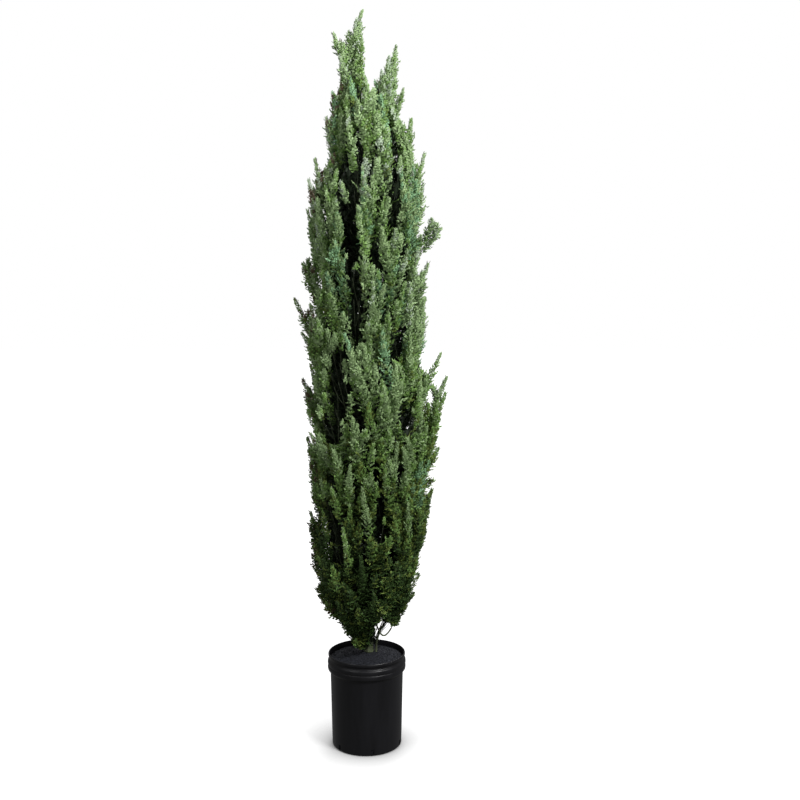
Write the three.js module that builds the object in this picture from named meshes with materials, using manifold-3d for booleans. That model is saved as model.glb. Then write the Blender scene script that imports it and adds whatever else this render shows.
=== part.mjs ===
// Artificial Italian cypress, eight feet tall, in a black nursery pot.
// Millimetres, +Z up. The origin is the centre of the pot's flat underside, and the viewer stands at -Y.
// The trunk rises out of the pot's filling and runs up through the crown. Slim plumes of foliage follow one
// another up the crown by the golden angle, and neighbouring plumes gather into masses. The plumes of a mass
// grow from one stem on the trunk, and keep to the space that is nearer to their own curves than to the
// curves of any other mass.
import * as THREE from "three";
import { mergeVertices } from "three/addons/utils/BufferGeometryUtils.js";
import Module from "manifold-3d";

const wasm = await Module();
wasm.setup();

// Driving dimensions
const TREE_HEIGHT = 2440;
const GAP = 0.3; // between pieces that rest on each other
const POT = { height: 320, wall: 2.6, floor: 3, foot: 118.6, waist: 124, waistZ: 258, sides: 32 };
const POT_RIM = [
  // radius and height of the lower bead, the groove, the upper bead, the neck and the rolled lip
  [127.6, 261.5], [131.4, 264.5], [133.1, 269], [133.3, 278], [132.7, 282], [131, 284.5], [132.9, 287],
  [133.5, 291], [133.3, 296], [132.3, 299.5], [128.2, 302], [127.3, 304], [128, 306.5], [130.6, 309],
  [131.4, 314], [131.2, 317.5], [129.8, 320],
];
const DRAIN = { count: 6, width: 11, height: 15, low: 7, turn: -79 }; // degrees to the first slot
const FILL = { top: 317, edge: 300, flat: 42 };
const TRUNK = { foot: [8, 12], tip: [-12, 0, 2080], bow: 16, radius: 13, tipRadius: 4, sides: 12 };
const FLARE = { more: 5.5, fade: 13 }; // how much wider the foot is, and the height over which that fades
const SIDE_STEM = { foot: [32, 2], tip: [58, -14, 418], rise: 60, hub: 60, radius: 4.3, tipRadius: 3.4 };
const LOW_TWIG = { rootZ: 440, out: [0.6, -0.8, 0], start: 40, dip: [44, -48, 346], tip: [84, -32, 412] };
const LOW_TWIG_RADIUS = [2.6, 2]; // at its root and tip


// Height, middle (x) and radius of the crown, read from the outline of the tree
const CROWN = [
  [312, 8, 20], [346, 2, 40], [402, 8, 74], [458, 7, 114], [514, 0, 160], [570, -3, 175], [708, 7, 188],
  [846, 14, 198], [982, 20, 208], [1118, 20, 217], [1215, 22, 218], [1265, -2, 188], [1330, -7, 178],
  [1385, 2, 186], [1511, 5, 195], [1596, 2, 194], [1701, 4, 188], [1805, 0, 187], [1909, 6, 172],
  [1960, 30, 140], [2037, 15, 118], [2113, 4, 104], [2190, 6, 84], [2250, -36, 50], [2310, -42, 42],
];
const LATTICE = { low: 352, high: 2270, plumes: 134, perMass: 4, rounds: 8, turn: 0.6 };
const GOLDEN_ANGLE = Math.PI * (3 - Math.sqrt(5));
const STRETCH = 0.55; // heights count for less when plumes gather into masses
const PLUME = { length: 285, base: 0.66, radius: 29, neck: 3, sides: 5 };
const STEM = { drop: 285, share: 0.42, radius: 3.8, core: 54, above: 200, sides: 5 };
const BLADE = { least: 2, length: 95, width: 27, thick: 5, lean: 0.64 };
const SPACE = { plume: 1.4, blade: 2.6, core: 3, limb: 2.2, across: 180 };

// Tips that stand out of the outline: x, y, height, and for short plumes their share of the full length. The
// nearest plume of the crown is drawn out to each.
const STANDOUTS = [
  [246, -20, 1748, 0.42], [227, -28, 1764, 0.42], [206, 12, 1633], [247, -12, 1335], [268, 6, 1255],
  [264, -14, 1204], [247, 4, 1133], [242, 10, 1016], [220, -8, 880], [192, 10, 1988],
  [150, -14, 2094], [190, 20, 1890], [-103, -8, 2180, 0.8], [-124, -10, 2100, 0.62], [-164, 8, 1970],
  [-183, -14, 1900], [-188, -8, 1806], [-203, 10, 1633, 0.6], [-231, -16, 1514], [-210, 12, 1402],
  [-208, -10, 1250], [-196, 12, 1050], [-186, -8, 800], [-180, 10, 610], [186, -10, 700],
  [176, 8, 580], [-60, 20, 2262],
];
// The two leaders, and the tufts on the low twig and at the trunk's foot: their build and their plumes' tips.
// A fourth number bows a plume to the right.
const LEADER = {
  build: { slender: 0.82, core: 1, above: 140 },
  hub: [-30, 0, 2126],
  tips: [
    [-9, 0, TREE_HEIGHT, -48], [-100, -8, 2367, 27], [-8, -34, 2344],
    [-48, 30, 2356], [-76, -44, 2284], [-16, 34, 2300], [-27, -6, 2412, -16],
  ],
};
const SECOND_LEADER = {
  build: { slender: 0.82, core: 1, above: 130 },
  drop: 110,
  hub: [62, 0, 2050],
  tips: [
    [101, 6, 2330, -8], [124, -6, 2196, 14], [56, -44, 2240],
    [97, 38, 2266], [34, -34, 2208, -6], [78, -34, 2288],
  ],
};
const TWIG_TUFT = {
  build: { slender: 0.42, core: 0.3, above: 14 },
  reach: 10,
  tips: [[104, -34, 444], [91, -47, 436], [113, -20, 432]],
};
const FOOT_TUFT = {
  build: { slender: 0.6, core: 0.25, above: 26 },
  rootZ: 337,
  out: [-0.6, -0.8, 0],
  reach: 20,
  tips: [[-30, -42, 404], [-4, -54, 396], [-60, -26, 414], [-36, -66, 374]],
};

// Small shared pieces of arithmetic
const lerp = THREE.MathUtils.lerp;
const vec = (numbers) => new THREE.Vector3(...numbers);
const UP = new THREE.Vector3(0, 0, 1);
const SIDEWAYS = new THREE.Vector3(0, 1, 0);

function seeded(i, k) {
  // A number from 0 to 1 that is always the same for the same i and k
  const s = Math.sin(i * 12.9898 + k * 78.233) * 43758.5453;
  return s - Math.floor(s);
}

function average(points) {
  return points.reduce((sum, p) => sum.add(p), new THREE.Vector3()).divideScalar(points.length);
}

function nearestTo(point, places, placeOf) {
  const far = places.map((place) => placeOf(place).distanceTo(point));
  return places[far.indexOf(Math.min(...far))];
}

function crownAt(z, column) {
  // Reads the crown's table in straight lines between its rows
  const next = CROWN.findIndex((row) => row[0] >= z);
  if (next <= 0) return CROWN[next === 0 ? 0 : CROWN.length - 1][column];
  const [a, b] = [CROWN[next - 1], CROWN[next]];
  return lerp(a[column], b[column], (z - a[0]) / (b[0] - a[0]));
}

const crownMiddle = (z) => crownAt(z, 1);
const crownRadius = (z) => crownAt(z, 2);

function onCrown(angle, z, share) {
  // The point at that share of the crown's radius
  const r = crownRadius(z) * share;
  return new THREE.Vector3(crownMiddle(z) + r * Math.cos(angle), r * Math.sin(angle), z);
}

function evenHeights(count) {
  // Heights that give each of so many plumes the same patch of the crown's surface
  const step = 4;
  const heights = [];
  const areas = [0];
  for (let z = LATTICE.low; z <= LATTICE.high; z += step) {
    heights.push(z);
    areas.push(areas[areas.length - 1] + crownRadius(z) * step);
  }
  const total = areas[areas.length - 1];
  return Array.from({ length: count }, (_, i) => {
    const wanted = ((i + 0.5) / count) * total;
    const k = areas.findIndex((a) => a > wanted) - 1;
    return heights[k] + (step * (wanted - areas[k])) / (areas[k + 1] - areas[k]);
  });
}

// Solids and meshes
function solid(geometry) {
  geometry.deleteAttribute("normal");
  geometry.deleteAttribute("uv");
  const merged = mergeVertices(geometry, 1e-4);
  const vertProperties = merged.attributes.position.array;
  const triVerts = new Uint32Array(merged.index.array);
  return new wasm.Manifold(new wasm.Mesh({ numProp: 3, vertProperties, triVerts }));
}

function meshOf(made, name, material) {
  const { numProp, vertProperties, triVerts } = made.getMesh();
  const corners = new THREE.InterleavedBuffer(vertProperties, numProp);
  const indexed = new THREE.BufferGeometry();
  indexed.setAttribute("position", new THREE.InterleavedBufferAttribute(corners, 3, 0));
  indexed.setIndex(new THREE.BufferAttribute(triVerts, 1));
  const geometry = indexed.toNonIndexed();
  geometry.computeVertexNormals();
  const mesh = new THREE.Mesh(geometry, material);
  mesh.name = name;
  return mesh;
}

function turned(profile, sides) {
  // A lathe about +Z, from a profile of radius and height that starts and ends on the axis
  const points = profile.map(([r, z]) => new THREE.Vector2(r, z));
  return new THREE.LatheGeometry(points, sides).rotateX(Math.PI / 2);
}

function bentAlong(curve, stations, sides, across = SIDEWAYS) {
  // A round limb: a lathe of unit length, bent along the curve. Stations are shares of the curve and radii.
  const ends = [[stations[0][0], 0], ...stations, [stations[stations.length - 1][0], 0]];
  const pointed = stations[stations.length - 1][1] === 0;
  const points = (pointed ? ends.slice(0, -1) : ends).map(([s, r]) => new THREE.Vector2(r, s));
  const geometry = new THREE.LatheGeometry(points, sides);
  const position = geometry.attributes.position;
  for (let i = 0; i < position.count; i++) {
    const [x, s, z] = [position.getX(i), position.getY(i), position.getZ(i)];
    const along = curve.getTangent(s);
    const side = across.clone().addScaledVector(along, -across.dot(along)).normalize();
    const third = new THREE.Vector3().crossVectors(side, along);
    position.setXYZ(i, ...curve.getPoint(s).addScaledVector(side, x).addScaledVector(third, z));
  }
  return solid(geometry);
}

// Trunk, side stem and low twig
const trunkFoot = new THREE.Vector3(...TRUNK.foot, FILL.top + GAP);
const trunkTip = vec(TRUNK.tip);
const trunkBend = trunkFoot.clone().lerp(trunkTip, 0.5).add(new THREE.Vector3(TRUNK.bow, 0, 0));
const trunkCurve = new THREE.QuadraticBezierCurve3(trunkFoot, trunkBend, trunkTip);

function trunkAt(z) {
  // The middle and radius of the trunk at a height
  const s = THREE.MathUtils.clamp((z - trunkFoot.z) / (trunkTip.z - trunkFoot.z), 0, 1);
  const flare = FLARE.more * Math.exp((trunkFoot.z - z) / FLARE.fade);
  return { middle: trunkCurve.getPoint(s), radius: lerp(TRUNK.radius, TRUNK.tipRadius, s) + flare };
}

function onTrunk(z, out) {
  // The place for a stem's root, just clear of the bark
  const trunk = trunkAt(z);
  return trunk.middle.addScaledVector(out, trunk.radius + GAP).setZ(z);
}

const trunkShares = [0, 0.005, 0.013, 0.03, 0.12, 0.24, 0.36, 0.48, 0.6, 0.72, 0.82, 0.91, 1];
const trunkStations = trunkShares.map((s) => [s, trunkAt(lerp(trunkFoot.z, trunkTip.z, s)).radius]);

const stemFoot = new THREE.Vector3(...SIDE_STEM.foot, FILL.top + GAP);
const stemBend = stemFoot.clone().addScaledVector(UP, SIDE_STEM.rise);
const sideStemCurve = new THREE.QuadraticBezierCurve3(stemFoot, stemBend, vec(SIDE_STEM.tip));
const sideStemStations = [0, 0.35, 0.7, 1].map((s) => [s, lerp(SIDE_STEM.radius, SIDE_STEM.tipRadius, s)]);

// The low twig hangs from the front of the trunk in a loop
const lowTwigRoot = onTrunk(LOW_TWIG.rootZ, vec(LOW_TWIG.out));
const lowTwigStart = lowTwigRoot.clone().addScaledVector(vec(LOW_TWIG.out), LOW_TWIG.start);
const [lowTwigDip, lowTwigTip] = [LOW_TWIG.dip, LOW_TWIG.tip].map(vec);
const lowTwigCurve = new THREE.CubicBezierCurve3(lowTwigRoot, lowTwigStart, lowTwigDip, lowTwigTip);
const lowTwigStations = [0, 0.2, 0.4, 0.6, 0.8, 1].map((s) => [s, lerp(...LOW_TWIG_RADIUS, s)]);

const limbs = [
  { name: "trunk", curve: trunkCurve, stations: trunkStations, sides: TRUNK.sides, samples: 40 },
  { name: "side_stem", curve: sideStemCurve, stations: sideStemStations, sides: 8, samples: 8 },
  { name: "low_twig", curve: lowTwigCurve, stations: lowTwigStations, sides: 6, samples: 10 },
];

// Where the plumes are, and how they gather into masses
function latticePlumes() {
  const plumes = evenHeights(LATTICE.plumes).map((height, seed) => {
    const angle = LATTICE.turn + seed * GOLDEN_ANGLE + lerp(-0.09, 0.09, seeded(seed, 2));
    const z = height + lerp(-14, 14, seeded(seed, 3));
    return { seed, angle, tip: onCrown(angle, z, lerp(0.95, 1.04, seeded(seed, 4))) };
  });
  for (const [x, y, z, share] of STANDOUTS) {
    const free = plumes.filter((plume) => !plume.drawn);
    const tip = vec([x, y, z]);
    const plume = nearestTo(tip, free, (other) => other.tip);
    const angle = Math.atan2(y, x - crownMiddle(z));
    Object.assign(plume, { tip, angle, share, drawn: true });
  }
  return plumes;
}

function gathered(plumes) {
  // Each plume joins the nearest centre, each centre moves to the middle of its plumes, and so on in rounds
  const squat = ({ tip, angle }) => {
    const around = new THREE.Vector3(Math.cos(angle), Math.sin(angle), 0);
    return around.multiplyScalar(SPACE.across).setZ(tip.z * STRETCH);
  };
  let centres = plumes.filter((_, i) => i % LATTICE.perMass === 1).map(squat);
  let groups = [];
  for (let round = 0; round < LATTICE.rounds; round++) {
    const joined = plumes.map((plume) => nearestTo(squat(plume), centres, (centre) => centre));
    groups = centres.map((centre) => plumes.filter((_, i) => joined[i] === centre));
    centres = groups.map((group) => average(group.map(squat)));
  }
  return groups;
}

function stemTo(root, out, hub, rise) {
  // A stem leaves its root straight, passes through the hub of its mass and ends above it
  const start = root.clone().addScaledVector(out, root.distanceTo(hub) * 0.35);
  return new THREE.CatmullRomCurve3([root, start, hub, hub.clone().add(rise)]);
}

function plumeFrom(hub, { tip, angle, seed, share = lerp(0.85, 1.15, seeded(seed, 1)) }) {
  // A plume leaves its hub, turns up at its base and ends at its tip. Its foliage is the last stretch.
  const wanted = PLUME.length * share;
  const length = Math.min(wanted, (tip.z - FILL.top) * 0.9);
  const base = onCrown(angle, Math.max(tip.z - 0.9 * length, hub.z + 4), PLUME.base);
  return { curve: new THREE.QuadraticBezierCurve3(hub, base, tip), length, seed };
}

function massOn(name, root, out, hub, plumes, build = {}) {
  // The stem rises from the hub towards the middle of the mass's plumes
  const { above = STEM.above } = build;
  const middle = average(plumes.map(({ curve }) => curve.getPoint(0.6)));
  const stem = stemTo(root, out, hub, middle.sub(hub).setLength(above));
  return { name, stem, plumes, ...build };
}

const foliageName = (i) => "foliage_" + String(i + 1).padStart(2, "0");
const middleOf = (group) => average(group.map(({ tip }) => tip));

function crownMass(group, i) {
  const middle = middleOf(group);
  const hubZ = Math.max(middle.z - STEM.drop, lerp(FILL.top + 8, middle.z, 0.3));
  const trunk = trunkAt(hubZ);
  const out = middle.sub(trunk.middle).setZ(0).normalize();
  const reach = Math.max(crownRadius(hubZ) * STEM.share, trunk.radius + 14);
  const hub = trunk.middle.clone().addScaledVector(out, reach).setZ(hubZ);
  const root = onTrunk(Math.max(hubZ - 0.8 * reach, FILL.top + 10 + 6 * (i % 3)), out);
  return massOn(foliageName(i), root, out, hub, group.map((plume) => plumeFrom(hub, plume)));
}

function sideStemMass(group, i) {
  // The mass that the side stem carries starts at its tip
  const out = sideStemCurve.getTangent(1);
  const [root, hub] = [GAP, SIDE_STEM.hub].map((far) => vec(SIDE_STEM.tip).addScaledVector(out, far));
  return massOn(foliageName(i), root, out, hub, group.map((plume) => plumeFrom(hub, plume)));
}

function tuftOn(name, root, out, hub, { tips, build }) {
  // A mass whose plumes rise straight from the hub
  const plumes = tips.map(([x, y, z, bow = 0], i) => {
    const tip = vec([x, y, z]);
    const base = hub.clone().lerp(tip, 0.35).addScaledVector(UP, 0.04 * tip.distanceTo(hub));
    base.x += bow;
    const curve = new THREE.QuadraticBezierCurve3(hub, base, tip);
    return { curve, length: tip.distanceTo(hub) * 0.8, seed: 900 + i + Math.round(hub.z) };
  });
  return massOn(name, root, out, hub, plumes, build);
}

function layOut() {
  const groups = gathered(latticePlumes());
  const overSideStem = vec(SIDE_STEM.tip).addScaledVector(UP, STEM.drop);
  const carried = nearestTo(overSideStem, groups, middleOf);
  const crown = groups.map((group, i) => (group === carried ? sideStemMass : crownMass)(group, i));

  const beyond = (point, out, far) => point.clone().addScaledVector(out, far);
  const leader = tuftOn("leader_plumes", beyond(trunkTip, UP, GAP), UP, vec(LEADER.hub), LEADER);
  const right = new THREE.Vector3(1, 0, 0);
  const secondHub = vec(SECOND_LEADER.hub);
  const secondRoot = onTrunk(secondHub.z - SECOND_LEADER.drop, right);
  const second = tuftOn("second_leader_plumes", secondRoot, right, secondHub, SECOND_LEADER);
  const twigEnd = lowTwigCurve.getTangent(1);
  const [twigRoot, twigHub] = [GAP, TWIG_TUFT.reach].map((far) => beyond(lowTwigTip, twigEnd, far));
  const twigTuft = tuftOn("low_twig_tuft", twigRoot, twigEnd, twigHub, TWIG_TUFT);
  const footOut = vec(FOOT_TUFT.out);
  const footRoot = onTrunk(FOOT_TUFT.rootZ, footOut);
  const footHub = beyond(footRoot, footOut, FOOT_TUFT.reach);
  const footTuft = tuftOn("foot_tuft", footRoot, footOut, footHub, FOOT_TUFT);
  return [...crown, leader, second, twigTuft, footTuft];
}

const masses = layOut();

// The space of each mass
const sampled = (curve, count) => Array.from({ length: count + 1 }, (_, i) => curve.getPoint(i / count));
const skeletons = masses.map(({ stem, plumes }) => {
  return [sampled(stem, 12), ...plumes.map(({ curve }) => sampled(curve, 9))];
});
const limbLines = limbs.map(({ curve, samples }) => sampled(curve, samples));

function distanceToLine(point, line) {
  const piece = new THREE.Line3();
  const foot = new THREE.Vector3();
  const far = line.slice(1).map((end, i) => {
    piece.set(line[i], end).closestPointToPoint(point, true, foot);
    return foot.distanceTo(point);
  });
  return Math.min(...far);
}

const distanceToLines = (point, lines) => Math.min(...lines.map((line) => distanceToLine(point, line)));

function distanceToOthers(point, own) {
  return Math.min(...skeletons.map((lines, i) => (i === own ? Infinity : distanceToLines(point, lines))));
}

function clearOfLimbs(point) {
  // How far the point is from the bark of each limb, and above the pot's filling
  const trunk = distanceToLine(point, limbLines[0]) - trunkAt(point.z).radius;
  const stem = distanceToLine(point, limbLines[1]) - SIDE_STEM.radius;
  const twig = distanceToLine(point, limbLines[2]) - LOW_TWIG_RADIUS[0];
  return Math.min(trunk, stem, twig, point.z - FILL.top);
}

function inOwnSpace(point, own) {
  const toOwn = distanceToLines(point, skeletons[own]);
  return toOwn + 2 * SPACE.blade < distanceToOthers(point, own) && clearOfLimbs(point) > SPACE.limb;
}

function roomAt(point, own, wanted, gap) {
  // The radius that a plume, a stem or a core may have at this point
  const room = Math.min(distanceToOthers(point, own) / 2 - gap, clearOfLimbs(point) - SPACE.limb);
  return THREE.MathUtils.clamp(wanted, 1, Math.max(room, 1));
}

// Foliage
const foliageShare = ({ curve, length }) => Math.min(length / curve.getLength(), 0.86);

function plumeSolid(plume, { slender = 1 }, own) {
  // A thin twig that widens into the plume's slim body and ends in a point
  const { curve } = plume;
  const share = foliageShare(plume);
  const shape = [[0.35, 1], [0.74, 0.78]]; // share of the foliage, and of the plume's radius
  const body = shape.map(([u, w]) => {
    const s = 1 - share * (1 - u);
    return [s, roomAt(curve.getPoint(s), own, w * PLUME.radius * slender, SPACE.plume)];
  });
  const neck = [0.04, roomAt(curve.getPoint(0.04), own, PLUME.neck * Math.sqrt(slender), SPACE.plume)];
  return bentAlong(curve, [neck, ...body, [1, 0]], PLUME.sides);
}

function bladesOf(plume, { slender = 1 }, own) {
  // Flat sprays that stand out of the plume, turned by the golden angle, each rooted in the plume's middle
  const { curve, seed } = plume;
  const share = foliageShare(plume);
  const made = [];
  const count = slender < 1 ? 1 : BLADE.least + (seed % 2);
  for (let k = 0; k < count; k++) {
    const u = (k + 0.6 + 0.35 * seeded(seed, 10 + k)) / (count + 0.9);
    const s = 1 - share * (1 - u * 0.85);
    const root = curve.getPoint(s);
    const along = curve.getTangent(s);
    const outward = new THREE.Vector3().crossVectors(along, SIDEWAYS).normalize();
    outward.applyAxisAngle(along, (k + seed) * GOLDEN_ANGLE);
    const grow = along.clone().applyAxisAngle(outward.clone().cross(along).normalize(), -BLADE.lean);
    const size = (1 - 0.35 * u) * slender * lerp(0.9, 1.15, seeded(seed, 20 + k));
    const [wide, long, thick] = [BLADE.width, BLADE.length, BLADE.thick].map((full) => (full * size) / 2);
    const flat = new THREE.Vector3().crossVectors(along, grow).normalize();
    const middle = root.clone().addScaledVector(grow, long);
    const tip = root.clone().addScaledVector(grow, 2 * long);
    const edges = [wide, -wide].map((far) => middle.clone().addScaledVector(flat, far));
    const probes = [root, middle, tip, ...edges, ...edges.map((edge) => edge.clone().lerp(tip, 0.5))];
    if (!probes.every((point) => inOwnSpace(point, own))) continue;
    const place = new THREE.Matrix4().makeBasis(flat, grow, new THREE.Vector3().crossVectors(flat, grow));
    const blade = new THREE.OctahedronGeometry(1).scale(wide, long, thick);
    made.push(solid(blade.applyMatrix4(place.setPosition(middle))));
  }
  return made;
}

function stemSolid({ stem, slender = 1, core = 1 }, own) {
  // The stem leaves the trunk thin, and swells at the hub into the dense core that the plumes stand out of
  const thin = STEM.radius * Math.sqrt(slender);
  const thick = STEM.core * slender * core;
  const shape = [[0.33, thin * 0.85], [0.57, thick], [0.82, thick * 0.9]];
  const stations = shape.map(([s, r]) => [s, roomAt(stem.getPoint(s), own, r, SPACE.core)]);
  return bentAlong(stem, [[0, thin], ...stations, [1, 0]], STEM.sides, stem.getTangent(0).cross(UP));
}

function massSolid(mass, own) {
  const parts = [stemSolid(mass, own)];
  for (const plume of mass.plumes) {
    parts.push(plumeSolid(plume, mass, own), ...bladesOf(plume, mass, own));
  }
  const bodies = wasm.Manifold.union(parts).simplify(1).decompose();
  return bodies.reduce((a, b) => (a.volume() > b.volume() ? a : b));
}

// Pot and filling
const wallAt = (z) => lerp(POT.foot, POT.waist, z / POT.waistZ) - POT.wall;
const innerTop = POT_RIM[POT_RIM.length - 1][0] - POT.wall;

function potSolid() {
  const foot = [[0, 0], [POT.foot - 4.5, 0], [POT.foot - 1.2, 1.6], [POT.foot, 5]];
  const inside = [
    [innerTop, POT.height - 1], [innerTop - 2.4, 302], [wallAt(POT.waistZ) + 0.4, 282],
    [wallAt(POT.waistZ), POT.waistZ], [wallAt(8), 8], [wallAt(8) - 4, POT.floor], [0, POT.floor],
  ];
  const shell = solid(turned([...foot, [POT.waist, POT.waistZ], ...POT_RIM, ...inside], POT.sides));
  const slots = Array.from({ length: DRAIN.count }, (_, i) => {
    const box = new THREE.BoxGeometry(12, DRAIN.width, DRAIN.height);
    box.translate(POT.foot, 0, DRAIN.low + DRAIN.height / 2);
    return solid(box.rotateZ(THREE.MathUtils.degToRad(DRAIN.turn + (360 / DRAIN.count) * i)));
  });
  return shell.subtract(wasm.Manifold.union(slots));
}

function fillSolid() {
  const low = POT.floor + GAP;
  const profile = [
    [0, low], [wallAt(8) - 4.5, low], [wallAt(8) - GAP, 8 + GAP], [wallAt(POT.waistZ) - GAP, POT.waistZ],
    [wallAt(POT.waistZ), 282], [innerTop - 3.7, FILL.edge], [FILL.flat * 2, FILL.top - 5],
    [FILL.flat, FILL.top], [0, FILL.top],
  ];
  return solid(turned(profile, POT.sides));
}

// Materials and the finished tree
const material = (color, roughness) => new THREE.MeshStandardMaterial({ color, roughness, metalness: 0 });
const potPlastic = material(0x17181b, 0.35);
const potting = material(0x26262a, 0.95);
const bark = material(0x4f5a3c, 0.85);
const foliage = material(0x48663c, 0.7);

const tree = new THREE.Group();
tree.add(meshOf(potSolid(), "pot", potPlastic));
tree.add(meshOf(fillSolid(), "potting_fill", potting));
for (const { name, curve, stations, sides } of limbs) {
  tree.add(meshOf(bentAlong(curve, stations, sides), name, bark));
}
masses.forEach((mass, own) => tree.add(meshOf(massSolid(mass, own), mass.name, foliage)));

export default tree;
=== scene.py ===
import bpy
import numpy as np
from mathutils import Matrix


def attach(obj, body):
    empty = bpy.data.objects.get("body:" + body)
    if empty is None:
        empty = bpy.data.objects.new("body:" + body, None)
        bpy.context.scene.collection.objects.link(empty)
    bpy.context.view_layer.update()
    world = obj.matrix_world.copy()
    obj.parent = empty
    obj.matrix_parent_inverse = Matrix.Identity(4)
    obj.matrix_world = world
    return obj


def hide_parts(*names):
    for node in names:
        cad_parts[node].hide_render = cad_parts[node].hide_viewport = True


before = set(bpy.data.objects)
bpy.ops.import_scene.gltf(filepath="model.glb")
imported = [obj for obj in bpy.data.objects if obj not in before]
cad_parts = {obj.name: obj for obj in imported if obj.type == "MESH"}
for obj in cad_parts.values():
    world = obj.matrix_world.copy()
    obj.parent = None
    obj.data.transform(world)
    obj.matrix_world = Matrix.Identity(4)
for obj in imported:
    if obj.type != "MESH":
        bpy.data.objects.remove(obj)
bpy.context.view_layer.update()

scene = bpy.context.scene

# Camera
# It stands 3.3 m in front of the tree, 1.5 m up and a little to the right of it, and looks slightly down.
EYE = (0.114, -3.299, 1.499)
LOOK_DOWN = 5.44
camera = bpy.data.objects.new("camera", bpy.data.cameras.new("camera"))
camera.data.lens = 44.6
camera.data.sensor_width = 36
camera.data.clip_start = 0.05
camera.location = EYE
camera.rotation_euler = (np.radians(90 - LOOK_DOWN), 0, 0)
scene.collection.objects.link(camera)
scene.camera = camera

# Pot
# A round nursery can, moulded from thin black plastic with a satin gloss. Two beads with a groove between
# them and a rolled lip stiffen its rim, and six slots near the foot let water out. Sizes are radius and
# height in mm.
POT_FOOT = [(0, 0), (96, 0), (114.1, 0), (117.4, 1.6), (118.6, 5), (118.9, 24), (119.1, 26)]
POT_WALL = [(124, 258)]
POT_RIM = [
    (127.6, 261), (131.4, 263.5), (133.1, 267.5), (133.3, 274.5), (132.7, 278.5), (131, 281), (132.9, 283.5),
    (133.5, 287.5), (133.3, 292.5), (132.3, 296), (128.2, 298.5), (127.3, 300.5), (127.2, 304.5), (128, 307),
    (130.6, 309.5), (131.4, 314), (131.2, 317.5), (129.8, 320),
]
POT_INSIDE = [(127.2, 319), (124.8, 302), (121.8, 282), (121.4, 258), (116.2, 8), (112.2, 3), (0, 3)]
POT_CORNERS, SHARP_EDGE = 160, 40
DRAIN = {"count": 6, "deep": 18, "width": 11, "height": 15, "out": 119, "low": 7, "turn": -79}


def softened(profile, cut=1.6, rounds=2):
    """Each corner of the profile is cut off at a quarter of its two sides, or at the cut where that is less,
    and so again in each round, with half the cut."""
    profile = np.array(profile, float)
    for _ in range(rounds):
        side = np.diff(profile, axis=0)
        long = np.linalg.norm(side, axis=1, keepdims=True)
        share = np.minimum(0.25, cut / long)
        after = profile[:-1] + side * share
        before = profile[1:] - side * share
        inner = np.stack([before[:-1], after[1:]], axis=1).reshape(-1, 2)
        profile = np.concatenate([profile[:1], inner, profile[-1:]])
        cut = cut / 2
    return profile


def skinned(rings, first, last):
    """Closed skins over stacks of rings, shaped (pieces, rings, corners, 3). Four neighbouring corners make
    two triangles, and each end ring makes a fan with its end point, first or last."""
    pieces, count, corners = rings.shape[:3]
    body = rings.reshape(pieces, count * corners, 3)
    points = np.concatenate([body, first[:, None], last[:, None]], axis=1)
    ring = np.arange(count - 1)[:, None] * corners
    here = np.arange(corners)[None, :]
    after = (here + 1) % corners
    a, b, c, d = ring + here, ring + after, ring + corners + after, ring + corners + here
    wall = np.stack([a, b, c, a, c, d], -1).reshape(-1, 3)
    top = (count - 1) * corners
    low = np.stack([after[0], here[0], np.full(corners, count * corners)], -1)
    high = np.stack([here[0] + top, after[0] + top, np.full(corners, count * corners + 1)], -1)
    pattern = np.concatenate([wall, low, high])
    faces = pattern[None] + points.shape[1] * np.arange(pieces)[:, None, None]
    return points.reshape(-1, 3), faces.reshape(-1, 3)


def spun(x, y, angle):
    """The point (x, y) turned round z, which is (x cos a - y sin a, x sin a + y cos a)."""
    return x * np.cos(angle) - y * np.sin(angle), x * np.sin(angle) + y * np.cos(angle)


def turned(profile, sides):
    """A lathe: at each corner the profile's radius goes round as (r cos a, r sin a), and its height is z. The
    profile's first and last points lie on the axis."""
    angle = np.linspace(0, 2 * np.pi, sides, endpoint=False)
    radius, height = profile[1:-1, 0, None], profile[1:-1, 1, None]
    rings = np.stack([*spun(radius, 0, angle), height + 0 * angle], -1)
    ends = np.array([[0, 0, profile[0, 1]], [0, 0, profile[-1, 1]]])
    return skinned(rings[None], ends[:1], ends[1:])


def made_piece(name, points, faces, finish, slot, nodes, smooth=True):
    """A mesh object in metres from corner points in millimetres and three corners a face. It rides with the
    pot, takes the finish and stands for the given nodes. The slot is not used."""
    mesh = bpy.data.meshes.new(name)
    mesh.vertices.add(len(points))
    mesh.vertices.foreach_set("co", (points * 0.001).astype(np.float32).ravel())
    mesh.loops.add(faces.size)
    mesh.loops.foreach_set("vertex_index", faces.astype(np.int32).ravel())
    mesh.polygons.add(len(faces))
    mesh.polygons.foreach_set("loop_start", np.arange(0, faces.size, 3, dtype=np.int32))
    mesh.polygons.foreach_set("use_smooth", np.full(len(faces), smooth))
    mesh.update(calc_edges=True)
    mesh.materials.append(finish)
    piece = bpy.data.objects.new(name, mesh)
    scene.collection.objects.link(piece)
    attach(piece, "root")
    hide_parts(*nodes)
    return piece


def finish_named(name, roughness, specular):
    """A material of that roughness and specular level, with its node tree and its Principled shader."""
    material = bpy.data.materials.new(name)
    material.use_nodes = True
    tree = material.node_tree
    shader = tree.nodes["Principled BSDF"]
    shader.inputs["Roughness"].default_value = roughness
    shader.inputs["Specular IOR Level"].default_value = specular
    return material, tree, shader


def coloured(text):
    """The linear colour of a web colour such as 4f5a3c. A part c becomes ((c + 0.055) / 1.055) ^ 2.4, or
    c / 12.92 where it is nearly black."""
    part = np.array([int(text[i:i + 2], 16) for i in (0, 2, 4)]) / 255
    linear = np.where(part > 0.04045, ((part + 0.055) / 1.055) ** 2.4, part / 12.92)
    return (*linear, 1.0)


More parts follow.
